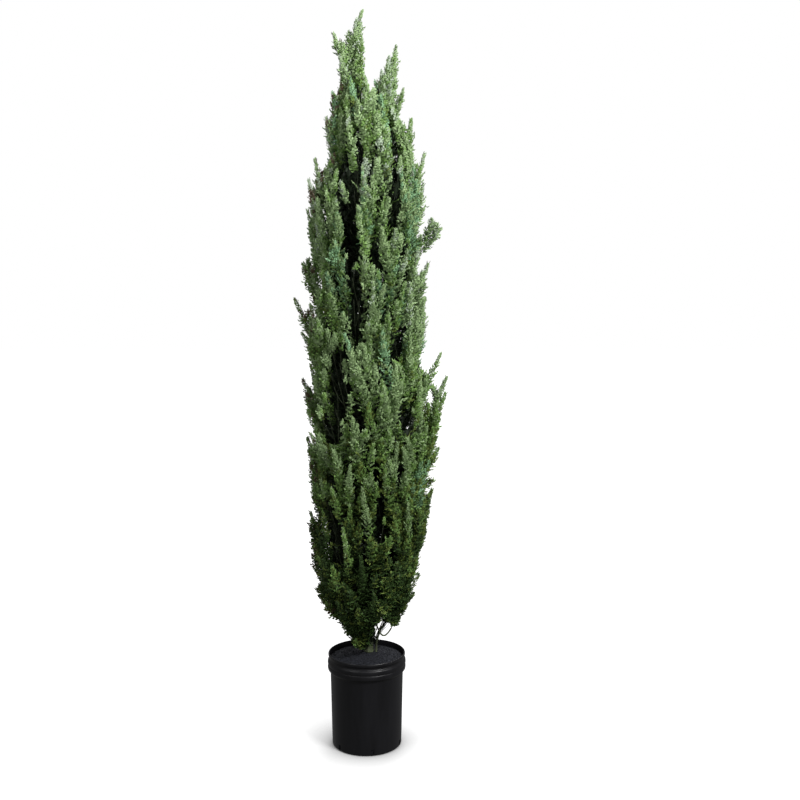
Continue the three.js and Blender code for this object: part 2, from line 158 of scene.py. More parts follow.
def added(tree, *kinds):
    """New shader nodes of those kinds."""
    return [tree.nodes.new("ShaderNode" + kind) for kind in kinds]


def grain_group():
    """Grain: noise in the object's own space, stretched along z, blends two tones and gives a height."""
    group = bpy.data.node_groups.new("grain", "ShaderNodeTree")
    for name, kind, side in (
        ("Tone", "Color", "INPUT"), ("Second Tone", "Color", "INPUT"), ("Scale", "Float", "INPUT"),
        ("Stretch", "Float", "INPUT"), ("Low", "Float", "INPUT"), ("High", "Float", "INPUT"),
        ("Color", "Color", "OUTPUT"), ("Height", "Float", "OUTPUT"),
    ):
        group.interface.new_socket(name=name, in_out=side, socket_type="NodeSocket" + kind)
    link = group.links.new
    inputs, outputs = group.nodes.new("NodeGroupInput"), group.nodes.new("NodeGroupOutput")
    place, joined, drawn = added(group, "TexCoord", "CombineXYZ", "VectorMath")
    noise, spread, blend = added(group, "TexNoise", "MapRange", "Mix")
    joined.inputs["X"].default_value = 1
    joined.inputs["Y"].default_value = 1
    drawn.operation = "DIVIDE"
    noise.inputs["Detail"].default_value = 5
    noise.inputs["Roughness"].default_value = 0.62
    blend.data_type = "RGBA"
    link(inputs.outputs["Stretch"], joined.inputs["Z"])
    link(place.outputs["Object"], drawn.inputs[0])
    link(joined.outputs[0], drawn.inputs[1])
    link(drawn.outputs[0], noise.inputs["Vector"])
    link(inputs.outputs["Scale"], noise.inputs["Scale"])
    link(noise.outputs["Fac"], spread.inputs["Value"])
    link(inputs.outputs["Low"], spread.inputs["From Min"])
    link(inputs.outputs["High"], spread.inputs["From Max"])
    link(spread.outputs[0], blend.inputs["Factor"])
    link(inputs.outputs["Tone"], blend.inputs[6])
    link(inputs.outputs["Second Tone"], blend.inputs[7])
    link(blend.outputs[2], outputs.inputs["Color"])
    link(noise.outputs["Fac"], outputs.inputs["Height"])
    return group


GRAIN = grain_group()


def grained(tree, scale, tone="000000", second="ffffff", stretch=1.0, low=0.35, high=0.7):
    """A grain node in a material, with its own tones, size and stretch."""
    node = tree.nodes.new("ShaderNodeGroup")
    node.node_tree = GRAIN
    values = (coloured(tone), coloured(second), scale, stretch, low, high)
    for socket, value in zip(node.inputs, values):
        socket.default_value = value
    return node


def ranged(tree, value, start, end):
    """A value that is spread from one range to another, and held at its ends."""
    node = tree.nodes.new("ShaderNodeMapRange")
    for name, limit in zip(("From Min", "From Max", "To Min", "To Max"), (*start, *end)):
        node.inputs[name].default_value = limit
    tree.links.new(value, node.inputs["Value"])
    return node.outputs[0]


def mixed(tree, share, first, second):
    """The first colour, a socket, blended with the second, a web colour, by a share from another socket."""
    node = tree.nodes.new("ShaderNodeMix")
    node.data_type = "RGBA"
    node.inputs[7].default_value = coloured(second)
    tree.links.new(share, node.inputs["Factor"])
    tree.links.new(first, node.inputs[6])
    return node.outputs[2]


def finished(tree, shader, colour, grain, rough, fine, strength, depth):
    """The shader takes the colour, a roughness that follows the grain's height, and the relief of a fine
    grain that is too small for the mesh."""
    tree.links.new(colour, shader.inputs["Base Color"])
    tree.links.new(ranged(tree, grain.outputs["Height"], (0.3, 0.7), rough), shader.inputs["Roughness"])
    bump = tree.nodes.new("ShaderNodeBump")
    bump.inputs["Strength"].default_value = strength
    bump.inputs["Distance"].default_value = depth
    tree.links.new(fine.outputs["Height"], bump.inputs["Height"])
    tree.links.new(bump.outputs["Normal"], shader.inputs["Normal"])


def pot_plastic():
    """Black plastic: flow marks that run down the wall change its gloss, with scuffs and a fine grain."""
    material, tree, shader = finish_named("black_pot_plastic", 0.4, specular=0.26)
    flow = grained(tree, 26, "0d0d0f", "141417", stretch=7)
    scuffs = grained(tree, 160, stretch=0.25, low=0.66, high=0.8)
    scuffed = ranged(tree, scuffs.outputs["Color"], (0, 1), (0, 0.35))
    worn = mixed(tree, scuffed, flow.outputs["Color"], "34363c")
    finished(tree, shader, worn, flow, (0.32, 0.46), grained(tree, 900), 0.12, 0.0004)
    return material


def cut_slots(pot):
    """Six boxes through the wall, turned round the axis by a sixth each, are taken away from the pot."""
    corners = 2 * np.array(list(np.ndindex(2, 2, 2))) - 1
    quads = [(0, 1, 3, 2), (4, 6, 7, 5), (0, 4, 5, 1), (2, 3, 7, 6), (0, 2, 6, 4), (1, 5, 7, 3)]
    half = np.array([DRAIN["deep"], DRAIN["width"], DRAIN["height"]]) / 2
    box = corners * half + [DRAIN["out"], 0, DRAIN["low"] + half[2]]
    turns = np.radians(DRAIN["turn"] + 360 / DRAIN["count"] * np.arange(DRAIN["count"]))
    x, y = spun(box[:, 0], box[:, 1], turns[:, None])
    points = np.stack([x, y, np.broadcast_to(box[:, 2], x.shape)], -1).reshape(-1, 3) * 0.001
    faces = [tuple(8 * n + c for c in quad) for n in range(DRAIN["count"]) for quad in quads]
    mesh = bpy.data.meshes.new("slot_cutter")
    mesh.from_pydata(points.tolist(), [], faces)
    cutter = bpy.data.objects.new("slot_cutter", mesh)
    scene.collection.objects.link(cutter)
    cut = pot.modifiers.new("slots", "BOOLEAN")
    cut.object = cutter
    cut.operation = "DIFFERENCE"
    cut.solver = "EXACT"
    whole = bpy.context.evaluated_depsgraph_get()
    pot.data = bpy.data.meshes.new_from_object(pot.evaluated_get(whole))
    pot.modifiers.clear()
    bpy.data.objects.remove(cutter)
    pot.data.set_sharp_from_angle(angle=np.radians(SHARP_EDGE))


pot_profile = softened(POT_FOOT + POT_WALL + POT_RIM + POT_INSIDE[:-1])[:-1]
pot_profile = np.concatenate([pot_profile, POT_INSIDE[-2:]])
pot = made_piece("nursery_pot", *turned(pot_profile, POT_CORNERS), pot_plastic(), "pot", ["pot"])
cut_slots(pot)

# Potting fill
# A dark, crumbly filling that mounds up round the stems to just below the rim's height, and lies 20 mm below
# the lip at the wall. Loose crumbs lie on it.
FILL_SIDE = np.array([(111.7, 3.3), (115.9, 8.3), (121.1, 258), (121.4, 282), (123.5, 300)])
FILL_HEIGHT = 317
FILL_TOP = np.array([(0, FILL_HEIGHT), (42, FILL_HEIGHT), (84, 312), FILL_SIDE[-1]])
FILL_CORNERS, TOP_RADII = 150, np.linspace(122, 1.2, 72)
# Height, width and seed of each kind of lump on the top
FILL_LUMPS = [(1.6, 18, 1), (1.1, 7, 2), (0.5, 3, 3)]
LUMPS_END, LUMPS_FADE = 123, 12
CRUMBS, CRUMB_REACH = 2600, 118
# Least and extra size of a crumb, and how far its corners are pulled in or out
CRUMB_SIZE, CRUMB_PULL = (0.9, 2.3), (0.7, 0.6)


def seeded(i, k):
    """A number from 0 to 1: what is left of sin(12.9898 i + 78.233 k) 43758.5453 after its whole part."""
    s = np.sin(i * 12.9898 + k * 78.233) * 43758.5453
    return s - np.floor(s)


def chance(i, k, least, extra):
    """A seeded number from the least up to the least plus the extra."""
    return least + extra * seeded(i, k)


def lumps(points, cell, seed):
    """Smooth noise from -1 to 1. The corners of a grid of that cell get seeded numbers, and each point blends
    the eight corners round it by 3t^2 - 2t^3."""
    place = points / cell
    corner = np.floor(place)
    t = place - corner
    t = t * t * (3 - 2 * t)
    total = np.zeros(points.shape[:-1])
    for step in np.ndindex(2, 2, 2):
        at = corner + step
        value = seeded(at[..., 0] + 57 * at[..., 1] + 131 * at[..., 2], seed)
        weight = np.prod(np.where(np.array(step) == 1, t, 1 - t), axis=-1)
        total += weight * value
    return 2 * total - 1


def fill_top(x, y):
    """Height of the filling's top: its profile at that radius, plus three kinds of lump that fade out
    towards the wall."""
    radius = np.hypot(x, y)
    flat = np.stack([x, y, 0 * x], -1)
    rough = sum(height * lumps(flat, wide, seed) for height, wide, seed in FILL_LUMPS)
    return np.interp(radius, *FILL_TOP.T) + rough * np.clip((LUMPS_END - radius) / LUMPS_FADE, 0.15, 1)


def fill_skin():
    """The side of the filling is a lathe of its profile. Its top is rings of falling radius, lifted to the
    height of the top there."""
    angle = np.linspace(0, 2 * np.pi, FILL_CORNERS, endpoint=False)
    radius = np.concatenate([FILL_SIDE[:, 0], TOP_RADII])[:, None]
    x, y = spun(radius, 0, angle)
    z = fill_top(x, y)
    z[:len(FILL_SIDE)] = FILL_SIDE[:, 1, None]
    rings = np.stack([x, y, z], -1)
    ends = np.array([[0, 0, FILL_SIDE[0, 1]], [0, 0, z[-1].mean()]])
    return skinned(rings[None], ends[:1], ends[1:])


def crumb_skin():
    """Eight-sided crumbs: six corners at the ends of three axes, each pulled in or out by its own seeded
    share, turned about z and strewn over the top with more of them near the wall."""
    i = np.arange(CRUMBS)
    x, y = spun(CRUMB_REACH * np.sqrt(seeded(i, 4)) ** 0.9, 0, 2 * np.pi * seeded(i, 5))
    size = CRUMB_SIZE[0] + CRUMB_SIZE[1] * seeded(i, 6) ** 3
    middle = np.stack([x, y, fill_top(x, y) + 0.3 * size], -1)
    axes = np.array([[1, 0, 0], [0, 1, 0], [-1, 0, 0], [0, -1, 0], [0, 0, -0.7], [0, 0, 0.7]], float)
    pulled = axes * chance(i[:, None], 7 + np.arange(6), *CRUMB_PULL)[..., None] * size[:, None, None]
    across, along = spun(pulled[..., 0], pulled[..., 1], 2 * np.pi * seeded(i, 14)[:, None])
    corners = np.stack([across, along, pulled[..., 2]], -1) + middle[:, None]
    return skinned(corners[:, None, :4], corners[:, 4], corners[:, 5])


def fill_finish():
    """Matt, nearly black crumbs with a cold tint and paler dust on them."""
    material, tree, shader = finish_named("dark_filling", 0.92, specular=0.25)
    crumbly = grained(tree, 190, "0b0c0f", "22242b", low=0.36, high=0.66)
    finished(tree, shader, crumbly.outputs["Color"], crumbly, (0.98, 0.8), grained(tree, 700), 0.6, 0.001)
    return material


fill_material = fill_finish()
made_piece("filling", *fill_skin(), fill_material, "potting_fill", ["potting_fill"])
made_piece("filling_crumbs", *crumb_skin(), fill_material, "potting_fill", ["potting_fill"], smooth=False)

# Trunk, side stem and low twig
# One slim tapering trunk stands in the filling, with a thin second stem beside it. A wire twig hangs from
# the trunk's front in a loop. All are coated like grey-green bark with low ridges that run along them.
TRUNK_FOOT = np.array([8, 12, 317.3])
TRUNK_TIP = np.array([-12, 0, 2080.0])
TRUNK_BEND = (TRUNK_FOOT + TRUNK_TIP) / 2 + [16, 0, 0]
TRUNK_RADIUS = (13, 4)
FLARE, FLARE_FADE = 5.5, 13
SIDE_STEM = [np.array(p, float) for p in ((32, 2, 317.3), (32, 2, 377.3), (58, -14, 418))]
SIDE_STEM_RADIUS = (4.3, 3.4)
TWIG_ROOT_Z, TWIG_OUT, TWIG_START = 440, np.array([0.6, -0.8, 0]), 40
TWIG_DIP, TWIG_TIP = np.array([44, -48, 346.0]), np.array([84, -32, 412.0])
TWIG_RADIUS = (2.9, 2.5)
RIDGE_WIDTHS = (5.5, 2.4)
CLEAR = 0.3


def unit(vectors):
    """Each vector divided by its length."""
    return vectors / np.linalg.norm(vectors, axis=-1, keepdims=True)


def blended(controls, s):
    """Points and directions on Bezier curves. Neighbouring control points are blended by (1 - s) and s until
    one is left, and the direction is the difference of the last two."""
    s = np.asarray(s, float)[..., None]
    while len(controls) > 2:
        controls = [a * (1 - s) + b * s for a, b in zip(controls, controls[1:])]
    a, b = controls
    return a * (1 - s) + b * s, unit(b - a + 0 * s)


def trunk_at(z):
    """Middle and radius of the trunk at a height: its curve's share is the share of the height, and the
    flare's extra radius falls off as e to the minus height over the fade."""
    s = np.clip((z - TRUNK_FOOT[2]) / (TRUNK_TIP[2] - TRUNK_FOOT[2]), 0, 1)
    middle, _ = blended([TRUNK_FOOT, TRUNK_BEND, TRUNK_TIP], s)
    taper = TRUNK_RADIUS[0] + (TRUNK_RADIUS[1] - TRUNK_RADIUS[0]) * s
    return middle, taper + FLARE * np.exp((TRUNK_FOOT[2] - z) / FLARE_FADE)


def on_trunk(z, out):
    """The point just clear of the bark at a height, on the side that out points to."""
    middle, radius = trunk_at(z)
    point = middle + out * (radius + CLEAR)
    point[2] = z
    return point


def tubed(middles, directions, radii, corners, ridge=0.0):
    """Round limbs along lines of points, shaped (limbs, points, 3). Each ring stands square to the direction
    there. The ridges change the radius by noise that is five times as long as it is wide."""
    side = unit([0, 1, 0] - directions * directions[..., 1:2])
    third = np.cross(directions, side)
    angle = np.linspace(0, 2 * np.pi, corners, endpoint=False)[:, None]
    around = side[..., None, :] * np.cos(angle) + third[..., None, :] * np.sin(angle)
    rings = middles[..., None, :] + around * radii[..., None, None]
    if ridge:
        drawn = rings * [1, 1, 0.2]
        relief = lumps(drawn, RIDGE_WIDTHS[0], 21) + 0.6 * lumps(drawn, RIDGE_WIDTHS[1], 22)
        rings = rings + around * (relief * ridge)[..., None] * np.minimum(radii / 6, 1)[..., None, None]
    return skinned(rings, middles[:, 0], middles[:, -1])


def bark_finish(name, dark, pale, brown):
    """Moulded bark: long pale and dark streaks, brown in patches, matt with a fine grain."""
    material, tree, shader = finish_named(name, 0.8, specular=0.3)
    streaks = grained(tree, 210, dark, pale, stretch=6, low=0.3, high=0.68)
    patches = grained(tree, 60, stretch=3, low=0.5, high=0.75)
    brownness = ranged(tree, patches.outputs["Color"], (0, 1), (0, 0.6))
    browned = mixed(tree, brownness, streaks.outputs["Color"], brown)
    finished(tree, shader, browned, streaks, (0.9, 0.7), grained(tree, 600, stretch=4), 0.5, 0.0008)
    return material


def limb(name, controls, radius, rings, corners, ridge, node):
    """A bark-covered limb that replaces one node, along a Bezier curve. Its radius is a function of the
    height, or a pair of sizes that it tapers between."""
    s = np.linspace(0, 1, rings)
    middles, directions = blended(controls, s)
    radii = radius(middles[:, 2]) if callable(radius) else np.interp(s, (0, 1), radius)
    skin = tubed(middles[None], directions[None], radii[None], corners, ridge)
    made_piece(name, *skin, bark_material, "bark", [node])


bark_material = bark_finish("moulded_bark", "333a27", "5c6549", "3a3024")
limb("trunk_bark", [TRUNK_FOOT, TRUNK_BEND, TRUNK_TIP], lambda z: trunk_at(z)[1], 500, 26, 1.0, "trunk")
limb("side_stem_bark", SIDE_STEM, SIDE_STEM_RADIUS, 60, 20, 0.5, "side_stem")
twig_root = on_trunk(TWIG_ROOT_Z, TWIG_OUT)
twig_controls = [twig_root, twig_root + TWIG_START * TWIG_OUT, TWIG_DIP, TWIG_TIP]
limb("low_twig_bark", twig_controls, TWIG_RADIUS, 60, 14, 0.3, "low_twig")

# Boughs and plume twigs
# Wire boughs wound with dark tape leave the trunk all the way up. Each ends in three to five long twigs, and
# each twig carries one slim plume. Plumes follow one another up the crown by the golden angle.
UP = np.array([0.0, 0.0, 1.0])
CROWN = np.array([
    # height, x of the crown's middle, and its radius
    (312, 8, 20), (346, 2, 40), (402, 8, 74), (458, 7, 114), (514, 0, 160), (570, -3, 175), (708, 7, 188),
    (846, 14, 198), (982, 20, 208), (1118, 20, 217), (1215, 22, 218), (1265, -2, 188), (1330, -7, 178),
    (1385, 2, 186), (1511, 5, 195), (1596, 2, 194), (1701, 4, 188), (1805, 0, 187), (1909, 6, 172),
    (1960, 30, 140), (2037, 15, 118), (2113, 4, 104), (2190, 6, 84), (2250, -36, 50), (2310, -42, 42),
], float)
PLUMES, PER_MASS, ROUNDS, HEIGHT_STEP = 134, 4, 8, 4
FIRST_TURN, TURN_CHANCE, HEIGHT_CHANCE = 0.6, 0.18, 28
# The least and the extra share of the crown's radius for a tip, and of the foliage's length
TIP_SHARE, LENGTH_SHARE = (0.95, 0.09), (0.85, 0.3)
LOWEST, HIGHEST = 352, 2270
GOLDEN = np.pi * (3 - np.sqrt(5))
STRETCH, ACROSS = 0.55, 180
PLUME_LENGTH, PLUME_BASE, LONGEST_SHARE = 285, 0.66, 0.86
STEM_DROP, STEM_SHARE, STEM_ABOVE = 285, 0.42, 200
SIDE_HUB = 60
# The least height of a mass's root over the filling, and how far apart in height low roots are
ROOT_HEIGHT, ROOT_STEP = 10, 6
HUB_CLEAR = 14
CROWN_MASSES, TUFT_SLENDER = 34, [0.82, 0.82, 0.42, 0.6]
# Boughs and twigs of the lowest hubs, at these heights, have this share of their radius
LOW_HUBS, LOW_SHARES = (370, 460), (0.45, 1)
BOUGH_RADIUS, BOUGH_RINGS = (3.8, 1.7), 26
# Radius of the twigs at their root, and how much they lose to the end of their curve
PLUME_TWIG = (2.2, 1.4)
# How far each tuft's stem rises above its hub
LEADER_ABOVE, SECOND_ABOVE, TUFT_ABOVE, FOOT_ABOVE = 140, 130, 14, 26
STANDOUTS = np.array([
    # tip, and the share of the full length for the short ones
    (246, -20, 1748, 0.42), (227, -28, 1764, 0.42), (206, 12, 1633, 0), (247, -12, 1335, 0),
    (268, 6, 1255, 0), (264, -14, 1204, 0), (247, 4, 1133, 0), (242, 10, 1016, 0), (220, -8, 880, 0),
    (192, 10, 1988, 0), (150, -14, 2094, 0), (190, 20, 1890, 0), (-103, -8, 2180, 0.8),
    (-124, -10, 2100, 0.62), (-164, 8, 1970, 0), (-183, -14, 1900, 0), (-188, -8, 1806, 0),
    (-203, 10, 1633, 0.6), (-231, -16, 1514, 0), (-210, 12, 1402, 0), (-208, -10, 1250, 0),
    (-196, 12, 1050, 0), (-186, -8, 800, 0), (-180, 10, 610, 0), (186, -10, 700, 0), (176, 8, 580, 0),
    (-60, 20, 2262, 0),
], float)
# The tufts' tips, and how far each plume bows to the right
LEADER_HUB, LEADER_TIPS = (-30, 0, 2126), [
    (-9, 0, 2440, -48), (-100, -8, 2367, 27), (-8, -34, 2344, 0),
    (-48, 30, 2356, 0), (-76, -44, 2284, 0), (-16, 34, 2300, 0), (-27, -6, 2412, -16),
]
SECOND_HUB, SECOND_DROP, SECOND_TIPS = (62, 0, 2050), 110, [
    (101, 6, 2330, -8), (124, -6, 2196, 14), (56, -44, 2240, 0), (97, 38, 2266, 0), (34, -34, 2208, -6),
    (78, -34, 2288, 0),
]
TUFT_REACH, TUFT_TIPS = 10, [(104, -34, 444, 0), (91, -47, 436, 0), (113, -20, 432, 0)]
FOOT_Z, FOOT_OUT, FOOT_REACH = 337, np.array([-0.6, -0.8, 0]), 20
FOOT_TIPS = [(-30, -42, 404, 0), (-4, -54, 396, 0), (-60, -26, 414, 0), (-36, -66, 374, 0)]
MASS_NODES = [f"foliage_{i + 1:02d}" for i in range(CROWN_MASSES)]
MASS_NODES += ["leader_plumes", "second_leader_plumes", "low_twig_tuft", "foot_tuft"]


def crown_middle(z):
    """The x of the crown's middle at a height, in straight lines between the rows of its table."""
    return np.interp(z, CROWN[:, 0], CROWN[:, 1])


def crown_radius(z):
    """The crown's radius at a height, in straight lines between the rows of its table."""
    return np.interp(z, CROWN[:, 0], CROWN[:, 2])


def on_crown(angle, z, share):
    """The point at an angle and height, at that share of the crown's radius."""
    r = crown_radius(z) * share
    return np.stack([crown_middle(z) + r * np.cos(angle), r * np.sin(angle), z], -1)


def even_heights(count):
    """Heights that give each of so many plumes the same patch of the crown's surface."""
    rows = np.arange(LOWEST, HIGHEST + 1, float(HEIGHT_STEP))
    area = np.concatenate([[0], np.cumsum(crown_radius(rows) * HEIGHT_STEP)])
    wanted = (np.arange(count) + 0.5) / count * area[-1]
    return np.interp(wanted, area, np.append(rows, rows[-1] + HEIGHT_STEP))


def crown_plumes():
    """Seeds, angles, tips and foliage lengths of the crown's plumes. Heights share out the crown's surface
    evenly, each angle adds the golden angle, and the nearest plume is drawn out to each tip that stands out
    of the outline."""
    seed = np.arange(PLUMES)
    height = even_heights(PLUMES)
    angle = FIRST_TURN + seed * GOLDEN - TURN_CHANCE / 2 + TURN_CHANCE * seeded(seed, 2)
    z = height - HEIGHT_CHANCE / 2 + HEIGHT_CHANCE * seeded(seed, 3)
    tip = on_crown(angle, z, chance(seed, 4, *TIP_SHARE))
    length = PLUME_LENGTH * chance(seed, 1, *LENGTH_SHARE)
    drawn = np.zeros(PLUMES)
    for *standout, share in STANDOUTS:
        closest = np.argmin(np.linalg.norm(tip - standout, axis=1) + drawn)
        tip[closest] = standout
        angle[closest] = np.arctan2(standout[1], standout[0] - crown_middle(standout[2]))
        length[closest] = PLUME_LENGTH * share or length[closest]
        drawn[closest] = np.inf
    return seed, angle, tip, length


def gathered(angle, tip):
    """The mass of each plume. On the crown's unrolled side each plume joins the nearest centre, and each
    centre moves to the middle of its plumes, in rounds."""
    squat = np.stack([ACROSS * np.cos(angle), ACROSS * np.sin(angle), tip[:, 2] * STRETCH], -1)
    centres = squat[1::PER_MASS]
    for _ in range(ROUNDS):
        joined = np.linalg.norm(squat[:, None] - centres[None], axis=2).argmin(axis=1)
        centres = np.array([squat[joined == k].mean(axis=0) for k in range(len(centres))])
    return joined


def stem_line(root, out, hub, rise):
    """A bough's line: it leaves the root along out, passes through the hub and ends at hub plus rise. Between
    neighbouring points it is a cubic whose slopes come from the points' spacing to the power of a half."""
    start = root + out * np.linalg.norm(hub - root) * 0.35
    knots = np.array([2 * root - start, root, start, hub, hub + rise, hub + 2 * rise])
    t = np.linspace(0, 3, BOUGH_RINGS)
    k = np.minimum(t.astype(int), 2)
    t = (t - k)[:, None]
    p0, p1, p2, p3 = (knots[k + n] for n in range(4))
    d0, d1, d2 = (np.sqrt(np.linalg.norm(d, axis=1, keepdims=True)) for d in (p1 - p0, p2 - p1, p3 - p2))
    slope1 = ((p1 - p0) / d0 - (p2 - p0) / (d0 + d1) + (p2 - p1) / d1) * d1
    slope2 = ((p2 - p1) / d1 - (p3 - p1) / (d1 + d2) + (p3 - p2) / d2) * d1
    bend, twist = 3 * (p2 - p1) - 2 * slope1 - slope2, 2 * (p1 - p2) + slope1 + slope2
    return p1 + slope1 * t + bend * t ** 2 + twist * t ** 3, unit(slope1 + 2 * bend * t + 3 * twist * t ** 2)


def mass_on(root, out, hub, plumes, above=STEM_ABOVE):
    """One mass: the line of its bough, and its plumes' control points, foliage lengths and seeds."""
    base, tip, length, seed = plumes
    hub = np.asarray(hub, float)
    at, _ = blended([hub[None], base, tip], np.full(len(tip), 0.6))
    line = stem_line(root, out, hub, unit(at.mean(axis=0) - hub) * above)
    return {"line": line, "hub": hub, "base": base, "tip": tip, "length": length, "seed": seed}


def crown_mass(k, seed, angle, tip, length, side_stem):
    """A mass of the crown. Its hub lies below its plumes at a share of the crown's radius, or on the side
    stem for the mass that the side stem carries."""
    middle = tip.mean(axis=0)
    if side_stem:
        end, out = blended(SIDE_STEM, 1.0)
        root, hub = end + CLEAR * out, end + SIDE_HUB * out
    else:
        hub_z = max(middle[2] - STEM_DROP, (FILL_HEIGHT + 8) * 0.7 + middle[2] * 0.3)
        centre, thick = trunk_at(hub_z)
        out = unit((middle - centre) * [1, 1, 0])
        reach = max(crown_radius(hub_z) * STEM_SHARE, thick + HUB_CLEAR)
        hub = np.append((centre + out * reach)[:2], hub_z)
        lowest = FILL_HEIGHT + ROOT_HEIGHT + ROOT_STEP * (k % 3)
        root = on_trunk(max(hub_z - 0.8 * reach, lowest), out)
    length = np.minimum(length, (tip[:, 2] - FILL_HEIGHT) * 0.9)
    base = on_crown(angle, np.maximum(tip[:, 2] - 0.9 * length, hub[2] + 4), PLUME_BASE)
    return mass_on(root, out, hub, (base, tip, length, seed))


def tuft_on(root, out, hub, tips, above):
    """A mass whose plumes rise straight from its hub."""
    hub, tips = np.asarray(hub, float), np.array(tips, float)
    tip, bow = tips[:, :3], tips[:, 3:]
    far = np.linalg.norm(tip - hub, axis=1)
    base = hub + (tip - hub) * 0.35 + UP * 0.04 * far[:, None] + bow * [1, 0, 0]
    seed = 900 + np.arange(len(tip)) + np.round(hub[2])
    return mass_on(root, out, hub, (base, tip, far * 0.8, seed), above)


def all_masses():
    """The crown's masses from the foot up, then the two leaders, the low twig's tuft and the foot's tuft."""
    seed, angle, tip, length = crown_plumes()
    joined = gathered(angle, tip)
    groups = [np.flatnonzero(joined == k) for k in range(joined.max() + 1)]
    above_stem = SIDE_STEM[2] + UP * STEM_DROP
    carried = np.argmin([np.linalg.norm(tip[g].mean(axis=0) - above_stem) for g in groups])
    made = [crown_mass(k, seed[g], angle[g], tip[g], length[g], k == carried) for k, g in enumerate(groups)]
    right = np.array([1.0, 0, 0])
    made.append(tuft_on(TRUNK_TIP + CLEAR * UP, UP, LEADER_HUB, LEADER_TIPS, LEADER_ABOVE))
    second = on_trunk(SECOND_HUB[2] - SECOND_DROP, right)
    made.append(tuft_on(second, right, SECOND_HUB, SECOND_TIPS, SECOND_ABOVE))
    end, out = blended(twig_controls, 1.0)
    made.append(tuft_on(end + CLEAR * out, out, end + TUFT_REACH * out, TUFT_TIPS, TUFT_ABOVE))
    foot = on_trunk(FOOT_Z, FOOT_OUT)
    made.append(tuft_on(foot, FOOT_OUT, foot + FOOT_REACH * FOOT_OUT, FOOT_TIPS, FOOT_ABOVE))
    return made


def curves_at(controls, s):
    """Points and directions of many Bezier curves, each at the shares s."""
    return blended([part[:, None] for part in controls], s)


def twigs(name, controls, s, taper, width, corners):
    """A piece of wire twigs, each along its Bezier curve at the shares s. The radius is the taper's first
    size less s times the second, times the twig's width."""
    radii = (taper[0] - taper[1] * s) * np.asarray(width)[..., None]
    skin = tubed(*curves_at(controls, s), radii, corners)
    made_piece(name, *skin, wire_material, "bark", MASS_NODES)


wire_material = bark_finish("taped_wire", "171c0f", "2c3520", "1f1a12")
masses = all_masses()
slender = np.array([1.0] * CROWN_MASSES + TUFT_SLENDER)
owner = np.concatenate([np.full(len(m["tip"]), k) for k, m in enumerate(masses)])
plume = {key: np.concatenate([m[key] for m in masses]) for key in ("base", "tip", "length", "seed")}
plume["hub"] = np.array([masses[k]["hub"] for k in owner])
plume["slender"] = slender[owner]
plume_curves = [plume[key] for key in ("hub", "base", "tip")]
curve_points, _ = curves_at(plume_curves, np.linspace(0, 1, 60)[None])
curve_length = np.linalg.norm(np.diff(curve_points, axis=1), axis=2).sum(axis=1)
plume["share"] = np.minimum(plume["length"] / curve_length, LONGEST_SHARE)

lines = np.array([m["line"][0] for m in masses])
ways = np.array([m["line"][1] for m in masses])
thin = np.sqrt(slender) * np.interp([m["hub"][2] for m in masses], LOW_HUBS, LOW_SHARES)
bough_radius = np.linspace(*BOUGH_RADIUS, BOUGH_RINGS) * thin[:, None]
made_piece("boughs", *tubed(lines, ways, bough_radius, 10, 0.35), wire_material, "bark", MASS_NODES)
along = np.linspace(0, 0.97, 22)[None]
twigs("plume_twigs", plume_curves, along, PLUME_TWIG, thin[owner], 6)

# Foliage
# Soft moulded scale foliage. Each plume breaks into narrow fingers, each finger is set all round with small
# flat sprigs, and each sprig has leaves in a herringbone. Sprigs are tinted from frosted grey to deep green,
# and how light a sprig is mixes random tone with painted light and shade; the frosted grey carries a painted
# highlight.
SIDE_FINGERS, FINGER_TWIG, FINGER_END = 3, (1.2, 0.7), 0.96
# A plume with less foliage than this, and with its tip above this height, is narrower by this share
SHORT_PLUME, SHORT_ABOVE, SHORT_WIDTH = 130, 1000, 0.72
# The least and the extra of a side finger's lean, turn, length and width, and the leaders' share of them
SIDE_LEAN, SIDE_TURN, SIDE_LENGTH, SIDE_WIDTH = (0.3, 0.2), (0.5, 0.9), (0.9, 0.25), (0.8, 0.3)
LEADER_LEAN, LEADER_LENGTH = 0.6, 0.7
INNER_FINGERS, INNER_REACH, INNER_SHARE = 170, 185, (0.86, 0.08)
TOP_FINGERS, TOP_HEIGHTS = 30, (2090, 2262)
FRONT_WIDTH, FRONT_DROP = 0.88, 70
INNER_SEED, FRONT_SEED = 5000.0, 9000.0
# Sprigs above this height stand all round their finger
SPRIG_STEP, SPRIG_LENGTH, ALL_ROUND = 3.9, 38, 2050
# Places along a finger with the sprigs' lean in radians there, and with their size
SPRIG_LEANS = (0, 0.75, 1), (0.92, 0.68, 0.32)
SPRIG_SIZES = (0, 0.1, 0.35, 0.75, 1), (0.75, 0.96, 1, 0.82, 0.42)
SPRIG_SHARE = (0.82, 0.32)
LEAVES = np.array([
    # place on the sprig, side, lean in radians, length as a share of the sprig
    (0.10, 1, 0.98, 0.38), (0.22, -1, 0.98, 0.38), (0.42, 1, 0.86, 0.35), (0.52, -1, 0.84, 0.33),
    (0.24, 0, 0.0, 0.40), (0.62, 0, 0.0, 0.38),
])
LEAF_WIDTH = 4.3
# The frosted tint carries a painted highlight on the lightest sprigs, as well as their pale tone
TINTS = {
    "frosted_highlight": "99a891", "grey_green": "819969", "fresh_green": "678645", "blue_green": "6e926a",
    "olive": "5f7032", "deep_green": "32481f", "browned": "564b38",
}
# Tints from dark to light and the lightness between them. The rest are heights with their values: how dark
# the painted shade in the band near the foot is, and from what lightness and what seeded number sprigs are
# frosted, which carries a painted highlight, and bluish.
SHADES, SHADE_STEPS = ["deep_green", "olive", "fresh_green", "grey_green"], [0.26, 0.4, 0.62]
PAINTED_SHADE_BAND = (400, 560, 680, 950), (0.7, 1, 1, 0)
